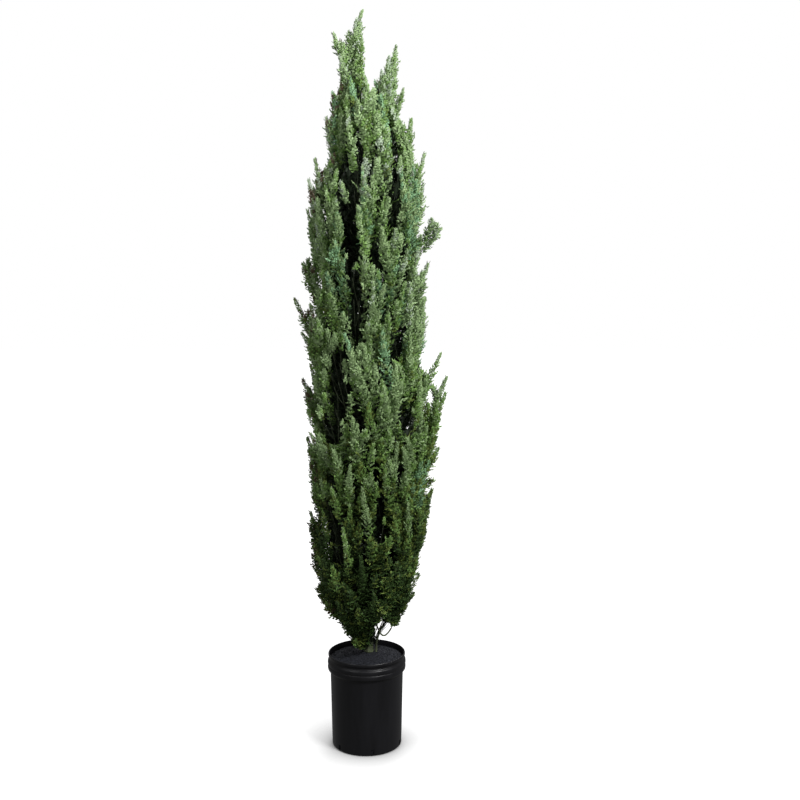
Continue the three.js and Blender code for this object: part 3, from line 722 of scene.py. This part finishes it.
# Painted light: sprigs get lighter from the first to the second height, and painted shade makes them a little
# darker again over the other two
PAINTED_LIGHT_RISE, PAINTED_SHADE_TOP = (350, 1500), (1900, 2100)
FROSTED_HIGHLIGHT_OVER = (1300, 1950), (1.16, 0.88)
BLUISH_OVER = (900, 2000), (0.95, 0.84)
FRONT_PLUMES = np.array([
    # x and height of the tip and of the root, and lightness
    (-4, 918, 20, 730, 1.15), (140, 860, 138, 652, 1.1), (-68, 784, -52, 610, 1.0),
    (-44, 990, -56, 860, 1.1), (-96, 1036, -72, 934, 1.0), (-104, 910, -70, 826, 0.6),
    (126, 1046, 150, 918, 1.0), (-104, 648, -80, 578, 0.9), (-58, 1404, 0, 1228, 1.0),
    (-84, 1330, -38, 1212, 0.95), (102, 1302, 104, 1144, 1.0), (64, 1238, 80, 1112, 0.8),
    (180, 1282, 176, 1062, 1.0), (30, 1568, 28, 1376, 0.9), (148, 1564, 140, 1374, 1.15),
    (-94, 1178, -48, 1072, 0.7), (-34, 1142, -26, 1022, 0.8), (-16, 1800, -2, 1672, 0.3),
    (58, 1734, 80, 1630, 0.5), (120, 1904, 134, 1756, 0.6), (-4, 1922, 14, 1720, 0.8),
    (-32, 1638, -20, 1578, 0.2), (136, 1084, 160, 966, 0.8), (66, 982, 82, 860, 0.4),
    (-112, 846, -88, 780, 0.6), (98, 816, 98, 724, 0.5), (60, 1420, 64, 1290, 0.6),
    (96, 1420, 100, 1330, 0.2), (-134, 850, -116, 660, 0.15),
])
GROOVES = [
    # height, and x of the left and right edge, from the top down
    [(2060, -26, -8), (1940, -22, -4), (1880, -34, -10), (1826, -48, -20), (1776, -60, -26), (1718, -58, -20),
     (1666, -50, -20), (1616, -58, -36), (1562, -42, -4), (1510, -36, 0), (1448, -38, -10), (1386, -46, -20)],
    [(1936, 92, 108), (1826, 86, 108), (1740, 102, 114)],
    [(1430, 92, 118), (1376, 86, 118), (1324, 88, 114)],
    [(1172, 130, 152), (1124, 118, 158), (1088, 126, 156)],
    [(1354, -96, -74), (1266, -120, -64), (1202, -120, -46), (1118, -136, -78), (1060, -136, -70)],
    [(866, -148, -116), (802, -120, -88), (724, -102, -70), (650, -98, -68)],
    [(902, 44, 60), (820, 40, 60), (738, 34, 62)],
]
# The gap between the leaders, in the same form
NOTCH = [
    (2460, 14, 400), (2352, 2, 100), (2326, 1, 88), (2297, 3, 72), (2264, 6, 56), (2231, 10, 34),
    (2178, 17, 21),
]
MOST_TRIANGLES = 190000
# x and height of the crown's lower edge, and the slope by which it rises to the front over the twig's loop
FOOT_EDGE = np.array([
    (-80, 380), (-52, 335), (-10, 326), (10, 334), (26, 358), (34, 418), (58, 422), (76, 420), (84, 406),
    (112, 408), (120, 448), (170, 520),
])
LOOP_SLOPE = (20, 34, 76, 84), (0, 0.33, 0.33, 0)


def leaned(way, out, lean):
    """Each direction, leaned out by an angle: way cos a + out sin a."""
    return way * np.cos(lean)[..., None] + out * np.sin(lean)[..., None]


def turned_out(way, turn):
    """The direction square to each given one, at a turn round it."""
    side = unit(np.cross(way, [0.01, 1, 0]))
    return leaned(side, np.cross(way, side), turn)


def crown_axis(point):
    """The crown's middle at the height of each point."""
    return np.stack([crown_middle(point[:, 2]), 0 * point[:, 1], point[:, 2]], -1)


def held_in(point, most):
    """Points no farther from the crown's middle line than that share of its radius at their height."""
    axis = crown_axis(point)
    far = np.linalg.norm(point - axis, axis=1)
    share = np.minimum(1, most * crown_radius(point[:, 2]) / far)
    return axis + (point - axis) * share[:, None]


def above_foot(point):
    """Whether each point lies above the crown's lower edge, which leaves the trunk's foot and the low twig
    bare. Over the twig's loop the edge rises towards the front, by the slope times the depth."""
    x, y, z = point.T
    return z > np.interp(x, *FOOT_EDGE.T) + np.interp(x, *LOOP_SLOPE) * np.maximum(-y, 0)


def in_gap(point, gap):
    """Whether each point, seen from the front, lies between the left and the right edge of a gap."""
    x, _, z = point.T
    height, left, right = np.array(gap[::-1], float).T
    between = (x > np.interp(z, height, left)) & (x < np.interp(z, height, right))
    return between & (z > height[0]) & (z < height[-1])


def crosses_notch(curve):
    """Whether any of twelve points along each Bezier curve lies in the gap between the leaders."""
    points, _ = curves_at(curve, np.linspace(0.1, 1, 12)[None])
    return in_gap(points.reshape(-1, 3), NOTCH).reshape(-1, 12).any(axis=1)


def in_groove(point):
    """Whether each point lies in one of the dark grooves that part the plumes on the crown's front."""
    inside = np.any([in_gap(point, groove) for groove in GROOVES], axis=0)
    return inside & (point[:, 1] < -0.45 * crown_radius(point[:, 2]))


def finger(start, way, out, lean, long, most):
    """Control points of fingers: they leave along a leaned way and turn up again towards their ends."""
    grow = leaned(way, out, lean)
    end = unit(grow + 0.55 * way + 0.3 * UP)
    reach = long[:, None]
    last = held_in(start + (grow * 0.45 + end * 0.55) * reach, most)
    return start, start + grow * reach * 0.45, last


def nearest(points, wanted):
    """The one of the points that is nearest to each wanted place."""
    return points[[np.linalg.norm(points - place, axis=1).argmin() for place in wanted]]


def on_front(x, z, share):
    """The point of the crown's front at that x and height, at that share of its radius."""
    r = crown_radius(z) * share
    y = -np.sqrt(np.maximum(r ** 2 - (x - crown_middle(z)) ** 2, (0.2 * r) ** 2))
    return np.stack([x, y, z], -1)


def front_fingers():
    """The slim fingers that stand out on the crown's front, from their table. Each grows from the plume twig
    that is nearest below its root."""
    x, z, low_x, low_z, tone = FRONT_PLUMES.T
    first = nearest(curve_points.reshape(-1, 3), on_front(low_x, low_z - FRONT_DROP, 0.55))
    seed = FRONT_SEED + 7 * np.arange(len(z))
    return first, on_front(low_x, low_z, 0.98), on_front(x, z, 1.01), FRONT_WIDTH + 0 * z, seed, tone


def inner_fingers():
    """Fingers that close the crown between the plumes. They follow the golden angle too, end at 0.86 to 0.94
    of the crown's radius, and each grows from the plume twig that is nearest below it. Their lightness stays
    under a half, painted shade for their place between the plumes."""
    z = np.concatenate([even_heights(INNER_FINGERS), np.linspace(*TOP_HEIGHTS, TOP_FINGERS)])
    j = np.arange(len(z))
    angle = 2.1 + j * GOLDEN
    last = on_crown(angle, z, chance(j, 35, *INNER_SHARE))
    below = np.maximum(z - INNER_REACH, FILL_HEIGHT + 25)
    first = nearest(curve_points.reshape(-1, 3), on_crown(angle, below, 0.6))
    bend = on_crown(angle, (below + z) / 2, 0.84)
    width = np.interp(z, (2120, 2260), (0.95, 0.6))
    # The lightness, at most 0.5, is painted shade for fingers set back between the plumes
    return first, bend, last, width, INNER_SEED + 7 * j, 0.5 * seeded(j, 36)


def fingers():
    """Control points, widths, seeds and lightness of all fingers. The first finger of a plume is the leafy
    stretch of its own curve. The others leave it to the left and the right in turn, and are shorter the
    farther out they start."""
    hub, base, tip, share = (plume[k] for k in ("hub", "base", "tip", "share"))
    start = 1 - share
    first, _ = blended([hub, base, tip], start)
    slope = 2 * ((base - hub) * (1 - start)[:, None] + (tip - base) * start[:, None])
    own = seeded(plume["seed"], 70)
    leafy = curve_length * share
    leading, short = owner >= CROWN_MASSES, (leafy < SHORT_PLUME) & (tip[:, 2] > SHORT_ABOVE)
    full = plume["slender"] ** 0.7 * np.where(short, SHORT_WIDTH, 1)
    made = [(first, first + slope * share[:, None] / 2, tip, full, plume["seed"] * 7.0, own)]
    most = np.linalg.norm(tip - crown_axis(tip), axis=1) / crown_radius(tip[:, 2])
    most = np.where(leading | short, most, np.clip(most, 0.95, 1.03))
    for k in range(SIDE_FINGERS):
        seed = plume["seed"] * 7.0 + k + 1
        u = (k + 0.1 + 0.6 * seeded(seed, 30)) / (SIDE_FINGERS + 0.8)
        root, way = blended([hub, base, tip], 1 - share * (1 - u))
        away = unit(root - crown_axis(root))
        turn = (1 - 2 * ((k + plume["seed"]) % 2)) * chance(seed, 34, *SIDE_TURN)
        out = leaned(away, np.cross(UP, away), turn)
        out = unit(out - way * (out * way).sum(axis=1)[:, None])
        long = leafy * (0.82 - 0.66 * u) * chance(seed, 32, *SIDE_LENGTH)
        long = long * np.where(leading, LEADER_LENGTH, 1)
        lean = chance(seed, 31, *SIDE_LEAN) * np.where(leading, LEADER_LEAN, 1)
        width = full * chance(seed, 33, *SIDE_WIDTH)
        tone = 0.5 * own + 0.5 * seeded(seed, 37)
        made.append((*finger(root, way, out, lean, long, most * 0.97), width, seed, tone))
    made += [inner_fingers(), front_fingers()]
    made = [np.concatenate(part) for part in zip(*made)]
    clear = ~in_gap(made[1], NOTCH) & ~crosses_notch(made[:3])
    return [part[clear] for part in made]


def sprigs(start, bend, end, width, seeds, own):
    """Roots, directions, flats and lengths of the sprigs, and what their tint depends on. They follow one
    another along a finger by the golden angle, lean less and get shorter towards its tip, and are few on the
    side that faces the trunk."""
    leafy = np.linalg.norm(bend - start, axis=1) + np.linalg.norm(end - bend, axis=1)
    count = np.maximum(leafy / (SPRIG_STEP * width ** 0.5), 6).astype(int)
    of = np.repeat(np.arange(len(count)), count)
    order = np.arange(len(of)) - np.repeat(np.cumsum(count) - count, count)
    u = 1 - (1 - (order + 0.5) / count[of]) ** 1.3
    root, way = blended([start[of], bend[of], end[of]], u)
    key = seeds[of] * 31 + order
    out = turned_out(way, order * GOLDEN + seeds[of])
    lean = np.interp(u, *SPRIG_LEANS) + 0.24 * (seeded(key, 41) - 0.5)
    grow = unit(leaned(way, out, lean) + UP * 0.1)
    flat = unit(np.cross(way, out))
    roll = 1.2 * (seeded(key, 42) - 0.5)
    flat = leaned(flat, np.cross(grow, flat), roll)
    long = SPRIG_LENGTH * width[of] * chance(key, 43, *SPRIG_SHARE) * np.interp(u, *SPRIG_SIZES)
    away = unit(root - crown_axis(root) + 1e-6)
    facing = (out * away).sum(axis=1)
    kept = (facing > -0.12 - 0.75 * seeded(key, 44)) | (u > 0.66) | (root[:, 2] > ALL_ROUND)
    end = root + grow * long[:, None]
    for point in (root, end):
        kept &= above_foot(point) & ~in_groove(point) & ~in_gap(point, NOTCH)
    return [part[kept] for part in (root, grow, flat, long, u, seeds[of], own[of], key)]


def kites(first, way, across, reach, wide, deep):
    """Leaves of four faces: a root and a tip joined by a ridge, and two side corners at half the length,
    lower by the depth."""
    lift = np.cross(way, across)
    middle = first + way * reach[..., None] * 0.5 - lift * deep[..., None]
    spread = across * wide[..., None]
    corners = np.stack([first, middle + spread, middle - spread, first + way * reach[..., None]], -2)
    pattern = np.array([(0, 3, 1), (0, 2, 3), (3, 2, 1), (0, 1, 2)])
    points = corners.reshape(-1, 3)
    faces = pattern + 4 * np.arange(len(points) // 4)[:, None, None]
    return points, faces.reshape(-1, 3)


def leaves(root, grow, flat, long, key):
    """The leaves of each sprig. They stand out of it to both sides in its flat, and two lie along it."""
    at, hand, lean, share = LEAVES.T
    wild = seeded(key[:, None], 50 + np.arange(len(LEAVES)))
    other = seeded(key[:, None], 60 + np.arange(len(LEAVES)))
    thick = np.cross(grow, flat)[:, None]
    grow, flat = grow[:, None], flat[:, None]
    way = leaned(grow, flat * hand[:, None], lean + 0.36 * (wild - 0.5))
    way = unit(way + thick * 0.5 * (other - 0.5)[..., None])
    reach = long[:, None] * share * (0.85 + 0.3 * wild)
    first = root[:, None] + grow * (at * long[:, None])[..., None]
    across = unit(np.cross(thick + 0 * way, way))
    wide = np.minimum(LEAF_WIDTH * (0.85 + 0.3 * other), reach * 0.38)
    return kites(first, way, across, reach, wide, wide * 0.7)


def tint_of(u, seeds, own, key, root):
    """The tint of each sprig. Painted light makes a sprig lighter towards its finger's tip and up the crown,
    and painted shade makes it a little darker at the very top and darker near the foot, with a seeded share
    of chance for the sprig and for the plume. The lightest are frosted, which carries a painted highlight.
    Some plumes are bluish, and a few tips on the left are browned."""
    x, _, z = root.T
    wild = seeded(key, 71)
    # Painted light and shade: lighter up the crown and towards the finger's tip, a little darker at the top;
    # own and wild are random tone
    high = np.interp(z, PAINTED_LIGHT_RISE, (0, 1)) ** 1.3 - 0.15 * np.interp(z, PAINTED_SHADE_TOP, (0, 1))
    light = 0.3 * np.minimum(u, 0.7) + 0.38 * high + 0.44 * own + 0.34 * (wild - 0.5)
    # Painted shade in a band near the foot
    light -= 0.26 * np.interp(z, *PAINTED_SHADE_BAND)
    tint = np.array(SHADES)[np.digitize(light, SHADE_STEPS)]
    # The lightest sprigs are frosted; the frosted tint carries a painted highlight
    tint = np.where(light > np.interp(z, *FROSTED_HIGHLIGHT_OVER), "frosted_highlight", tint)
    blue = seeded(np.floor(seeds / 7), 72) > np.interp(z, *BLUISH_OVER)
    tint = np.where(blue & (wild > 0.4) & (light > 0.4), "blue_green", tint)
    left = x < crown_middle(z) - 0.86 * crown_radius(z)
    return np.where(left & (wild > 0.72) & (u > 0.6), "browned", tint)


def leaf_finish(name, tint):
    """Soft plastic of one plain tint, with a low sheen, so that each sprig keeps its own colour."""
    material, _, shader = finish_named(name, 0.58, specular=0.35)
    shader.inputs["Base Color"].default_value = coloured(tint)
    return material


def bare_share(curves, count=25):
    """The share of each curve that lies below the crown's lower edge, by a count of points along it."""
    points, _ = curves_at(curves, np.linspace(0, FINGER_END, count)[None])
    bare = ~above_foot(points.reshape(-1, 3))
    return np.minimum(bare.reshape(-1, count).sum(axis=1) / count, 0.9)[:, None]


finger_parts = fingers()
bare = bare_share(finger_parts[:3])
along = bare + (FINGER_END - bare) * np.linspace(0, 1, 6)
twigs("finger_twigs", finger_parts[:3], along, FINGER_TWIG, finger_parts[3], 4)
root, grow, flat, long, u, seeds, own, key = sprigs(*finger_parts)
tints = tint_of(u, seeds, own, key, root)
for name, tint in TINTS.items():
    finish = leaf_finish(name + "_leaves", tint)
    mine = np.flatnonzero(tints == name)
    parts = int(np.ceil(len(mine) * len(LEAVES) * 4 / MOST_TRIANGLES))
    for part, some in enumerate(np.array_split(mine, max(parts, 1))):
        skin = leaves(root[some], grow[some], flat[some], long[some], key[some])
        made_piece(f"{name}_leaves_{part + 1}", *skin, finish, "foliage", MASS_NODES, smooth=False)

# Inner foliage
# Behind the plumes longer leaves round the hubs and boughs close the crown's inside, and their near-black
# tint is painted shade.
# They are of the same soft plastic, and sit on wire twigs that fan out from the boughs.
INNER_PER_PLUME, INNER_PER_BOUGH = 40, 150
INNER_TWIGS, INNER_PER_TWIG, INNER_TWIG_REACH = 420, 42, 130
# The inner leaves' near-black tint is painted shade for the crown's inside
INNER_TWIG, INNER_SHADE_TINT = (1.3, 0.6), "1b2617"
# The least and the extra length of an inner leaf, how far it may stand out of its limb, and the shares of
# the crown's radius that its root and its tip stay within
INNER_LEAF, INNER_OUT, INNER_ROOTS, INNER_TIPS = (26, 18), 26, 0.62, 0.78
INNER_LEAN, INNER_WIDTH, INNER_DEPTH = (0.25, 0.8), 7, 2.5
# Inner leaves are smaller where the crown's radius is less than this
FULL_CROWN = 170


def inner_twigs():
    """Control points of twigs that fan out from the boughs and plume twigs nearest to them, up to 0.64 of the
    crown's radius, evenly all round by the golden angle."""
    j = np.arange(INNER_TWIGS)
    z = even_heights(INNER_TWIGS) + 20
    angle = 4.4 + j * GOLDEN
    last = on_crown(angle, z, 0.64)
    below = np.maximum(z - INNER_TWIG_REACH, FILL_HEIGHT + 25)
    limbs = np.concatenate([curve_points.reshape(-1, 3), lines.reshape(-1, 3)])
    first = nearest(limbs, on_crown(angle, below, 0.36))
    made = [first, on_crown(angle, (below + z) / 2, 0.56), last]
    clear = ~crosses_notch(made)
    return [part[clear] for part in made]


inner_parts = inner_twigs()
along = np.linspace(0, 1, 5)[None]
twigs("inner_twigs", inner_parts, along, INNER_TWIG, 1, 4)


def painted_shade_inner_leaves():
    """Long leaves strewn round the inner twigs, the boughs and the plume twigs below the foliage, leaning out
    of the line there by chance."""
    i = np.arange(len(owner) * INNER_PER_PLUME)
    at = i // INNER_PER_PLUME
    s = 0.1 + (0.84 - plume["share"][at] * 0.45) * seeded(i, 80)
    near, way = blended([part[at] for part in plume_curves], s)
    j = np.arange(len(masses) * INNER_PER_BOUGH)
    bough = j // INNER_PER_BOUGH
    step = (5 + seeded(j, 81) * 20).astype(int)
    k = np.arange(len(inner_parts[0]) * INNER_PER_TWIG)
    twig = k // INNER_PER_TWIG
    on_twig, along = blended([part[twig] for part in inner_parts], chance(k, 86, 0.1, 0.9))
    near = np.concatenate([near, lines[bough, step], on_twig])
    way = np.concatenate([way, ways[bough, step], along])
    size = np.concatenate([plume["slender"][at], slender[bough], 0 * twig + 1.0])
    i = np.arange(len(near))
    out = turned_out(way, 2 * np.pi * seeded(i, 82))
    grow = leaned(way, out, chance(i, 83, *INNER_LEAN))
    first = held_in(near + out * (INNER_OUT * size * seeded(i, 84))[:, None], INNER_ROOTS)
    size = size * np.clip(crown_radius(first[:, 2]) / FULL_CROWN, 0.5, 1)
    reach = chance(i, 85, *INNER_LEAF) * size
    end = first + grow * reach[:, None]
    kept = above_foot(first) & above_foot(end) & ~in_gap(end, NOTCH)
    kept &= np.linalg.norm(end - crown_axis(end), axis=1) < INNER_TIPS * crown_radius(end[:, 2])
    first, grow, way, reach, size = (part[kept] for part in (first, grow, way, reach, size))
    return kites(first, grow, unit(np.cross(grow, way)), reach, INNER_WIDTH * size, INNER_DEPTH * size)


# Painted shade: the inner leaves take the near-black tint
inner_shade_finish = leaf_finish("painted_shade_inner_leaves", INNER_SHADE_TINT)
made_piece("painted_shade_inner_leaves", *painted_shade_inner_leaves(), inner_shade_finish, "foliage", MASS_NODES, smooth=False)

# Floor and light
# A white studio floor that glows, with a painted contact shadow round the pot, soft light from the upper
# right, a weaker light from the left and a bright room.
FLOOR_HALF, FLOOR_FADE = 30, (0.5, 2.0)
FLOOR_SHADE, FLOOR_LIGHT, ROOM_LIGHT = 0.2, 0.2, 0.22
floor_mesh = bpy.data.meshes.new("floor")
floor_corners = [(x * FLOOR_HALF, y * FLOOR_HALF, 0) for x, y in ((-1, -1), (1, -1), (1, 1), (-1, 1))]
floor_mesh.from_pydata(floor_corners, [], [(0, 1, 2, 3)])
floor = bpy.data.objects.new("floor", floor_mesh)
scene.collection.objects.link(floor)


def floor_finish():
    """A glowing white floor. To the camera it is mostly glow, with a painted contact shadow close round the
    pot where an occlusion node dims the glow, some real shading mixed in, and a fade into the white of the
    room from 0.5 m to 2 m away. To other rays it only glows dimly, and so it sends little light back up, so
    that the foot of the crown stays dark."""
    material, tree, shader = finish_named("glowing_floor_painted_shadow", 0.9, specular=0.1)
    shader.inputs["Base Color"].default_value = (0.9, 0.9, 0.9, 1)
    place, far, shade, ray = added(tree, "TexCoord", "VectorMath", "AmbientOcclusion", "LightPath")
    glow, dim, blend, seen = added(tree, "Emission", "Emission", "MixShader", "MixShader")
    link = tree.links.new
    far.operation = "LENGTH"
    shade.inputs["Distance"].default_value = FLOOR_SHADE
    dim.inputs["Strength"].default_value = FLOOR_LIGHT
    link(place.outputs["Object"], far.inputs[0])
    # Painted contact shadow: the floor's glow is dimmed where the occlusion node finds the pot close
    link(ranged(tree, shade.outputs["AO"], (0.45, 0.95), (0.08, 1.25)), glow.inputs["Strength"])
    link(ranged(tree, far.outputs["Value"], FLOOR_FADE, (0.7, 1)), blend.inputs["Fac"])
    link(shader.outputs[0], blend.inputs[1])
    link(glow.outputs[0], blend.inputs[2])
    link(ray.outputs["Is Camera Ray"], seen.inputs["Fac"])
    link(dim.outputs[0], seen.inputs[1])
    link(blend.outputs[0], seen.inputs[2])
    link(seen.outputs[0], tree.nodes["Material Output"].inputs["Surface"])
    return material


floor_mesh.materials.append(floor_finish())


def softbox(name, place, target, size, watts):
    """A square area light that faces its target."""
    light = bpy.data.lights.new(name, "AREA")
    light.size = size
    light.energy = watts
    lamp = bpy.data.objects.new(name, light)
    lamp.location = place
    aim = np.array(place, float) - np.array(target, float)
    turn = np.arctan2(aim[1], aim[0]) + np.pi / 2
    tilt = np.arccos(aim[2] / np.linalg.norm(aim))
    lamp.rotation_euler = (tilt, 0, turn)
    scene.collection.objects.link(lamp)


softbox("key", (2.1, -2.1, 3.4), (0, 0, 1.9), 1.1, 235)
softbox("left_fill", (-2.2, -2.0, 3.4), (0, 0, 2.1), 1.2, 50)
softbox("low_front", (1.2, -3.2, 0.7), (0, 0, 0.3), 0.6, 5)
softbox("back_fill", (0.5, 2.8, 3.5), (0, 0, 1.9), 1.6, 100)

world = bpy.data.worlds.new("white_room")
scene.world = world
world.use_nodes = True
sky = world.node_tree
sky.nodes["Background"].inputs["Color"].default_value = (1, 1, 1, 1)
# The camera sees the room as white, and it lights the tree with less than that
ray, pick = added(sky, "LightPath", "Mix")
pick.inputs["A"].default_value = ROOM_LIGHT
pick.inputs["B"].default_value = 1.0
sky.links.new(ray.outputs["Is Camera Ray"], pick.inputs["Factor"])
sky.links.new(pick.outputs["Result"], sky.nodes["Background"].inputs["Strength"])
scene.view_settings.view_transform = "Standard"
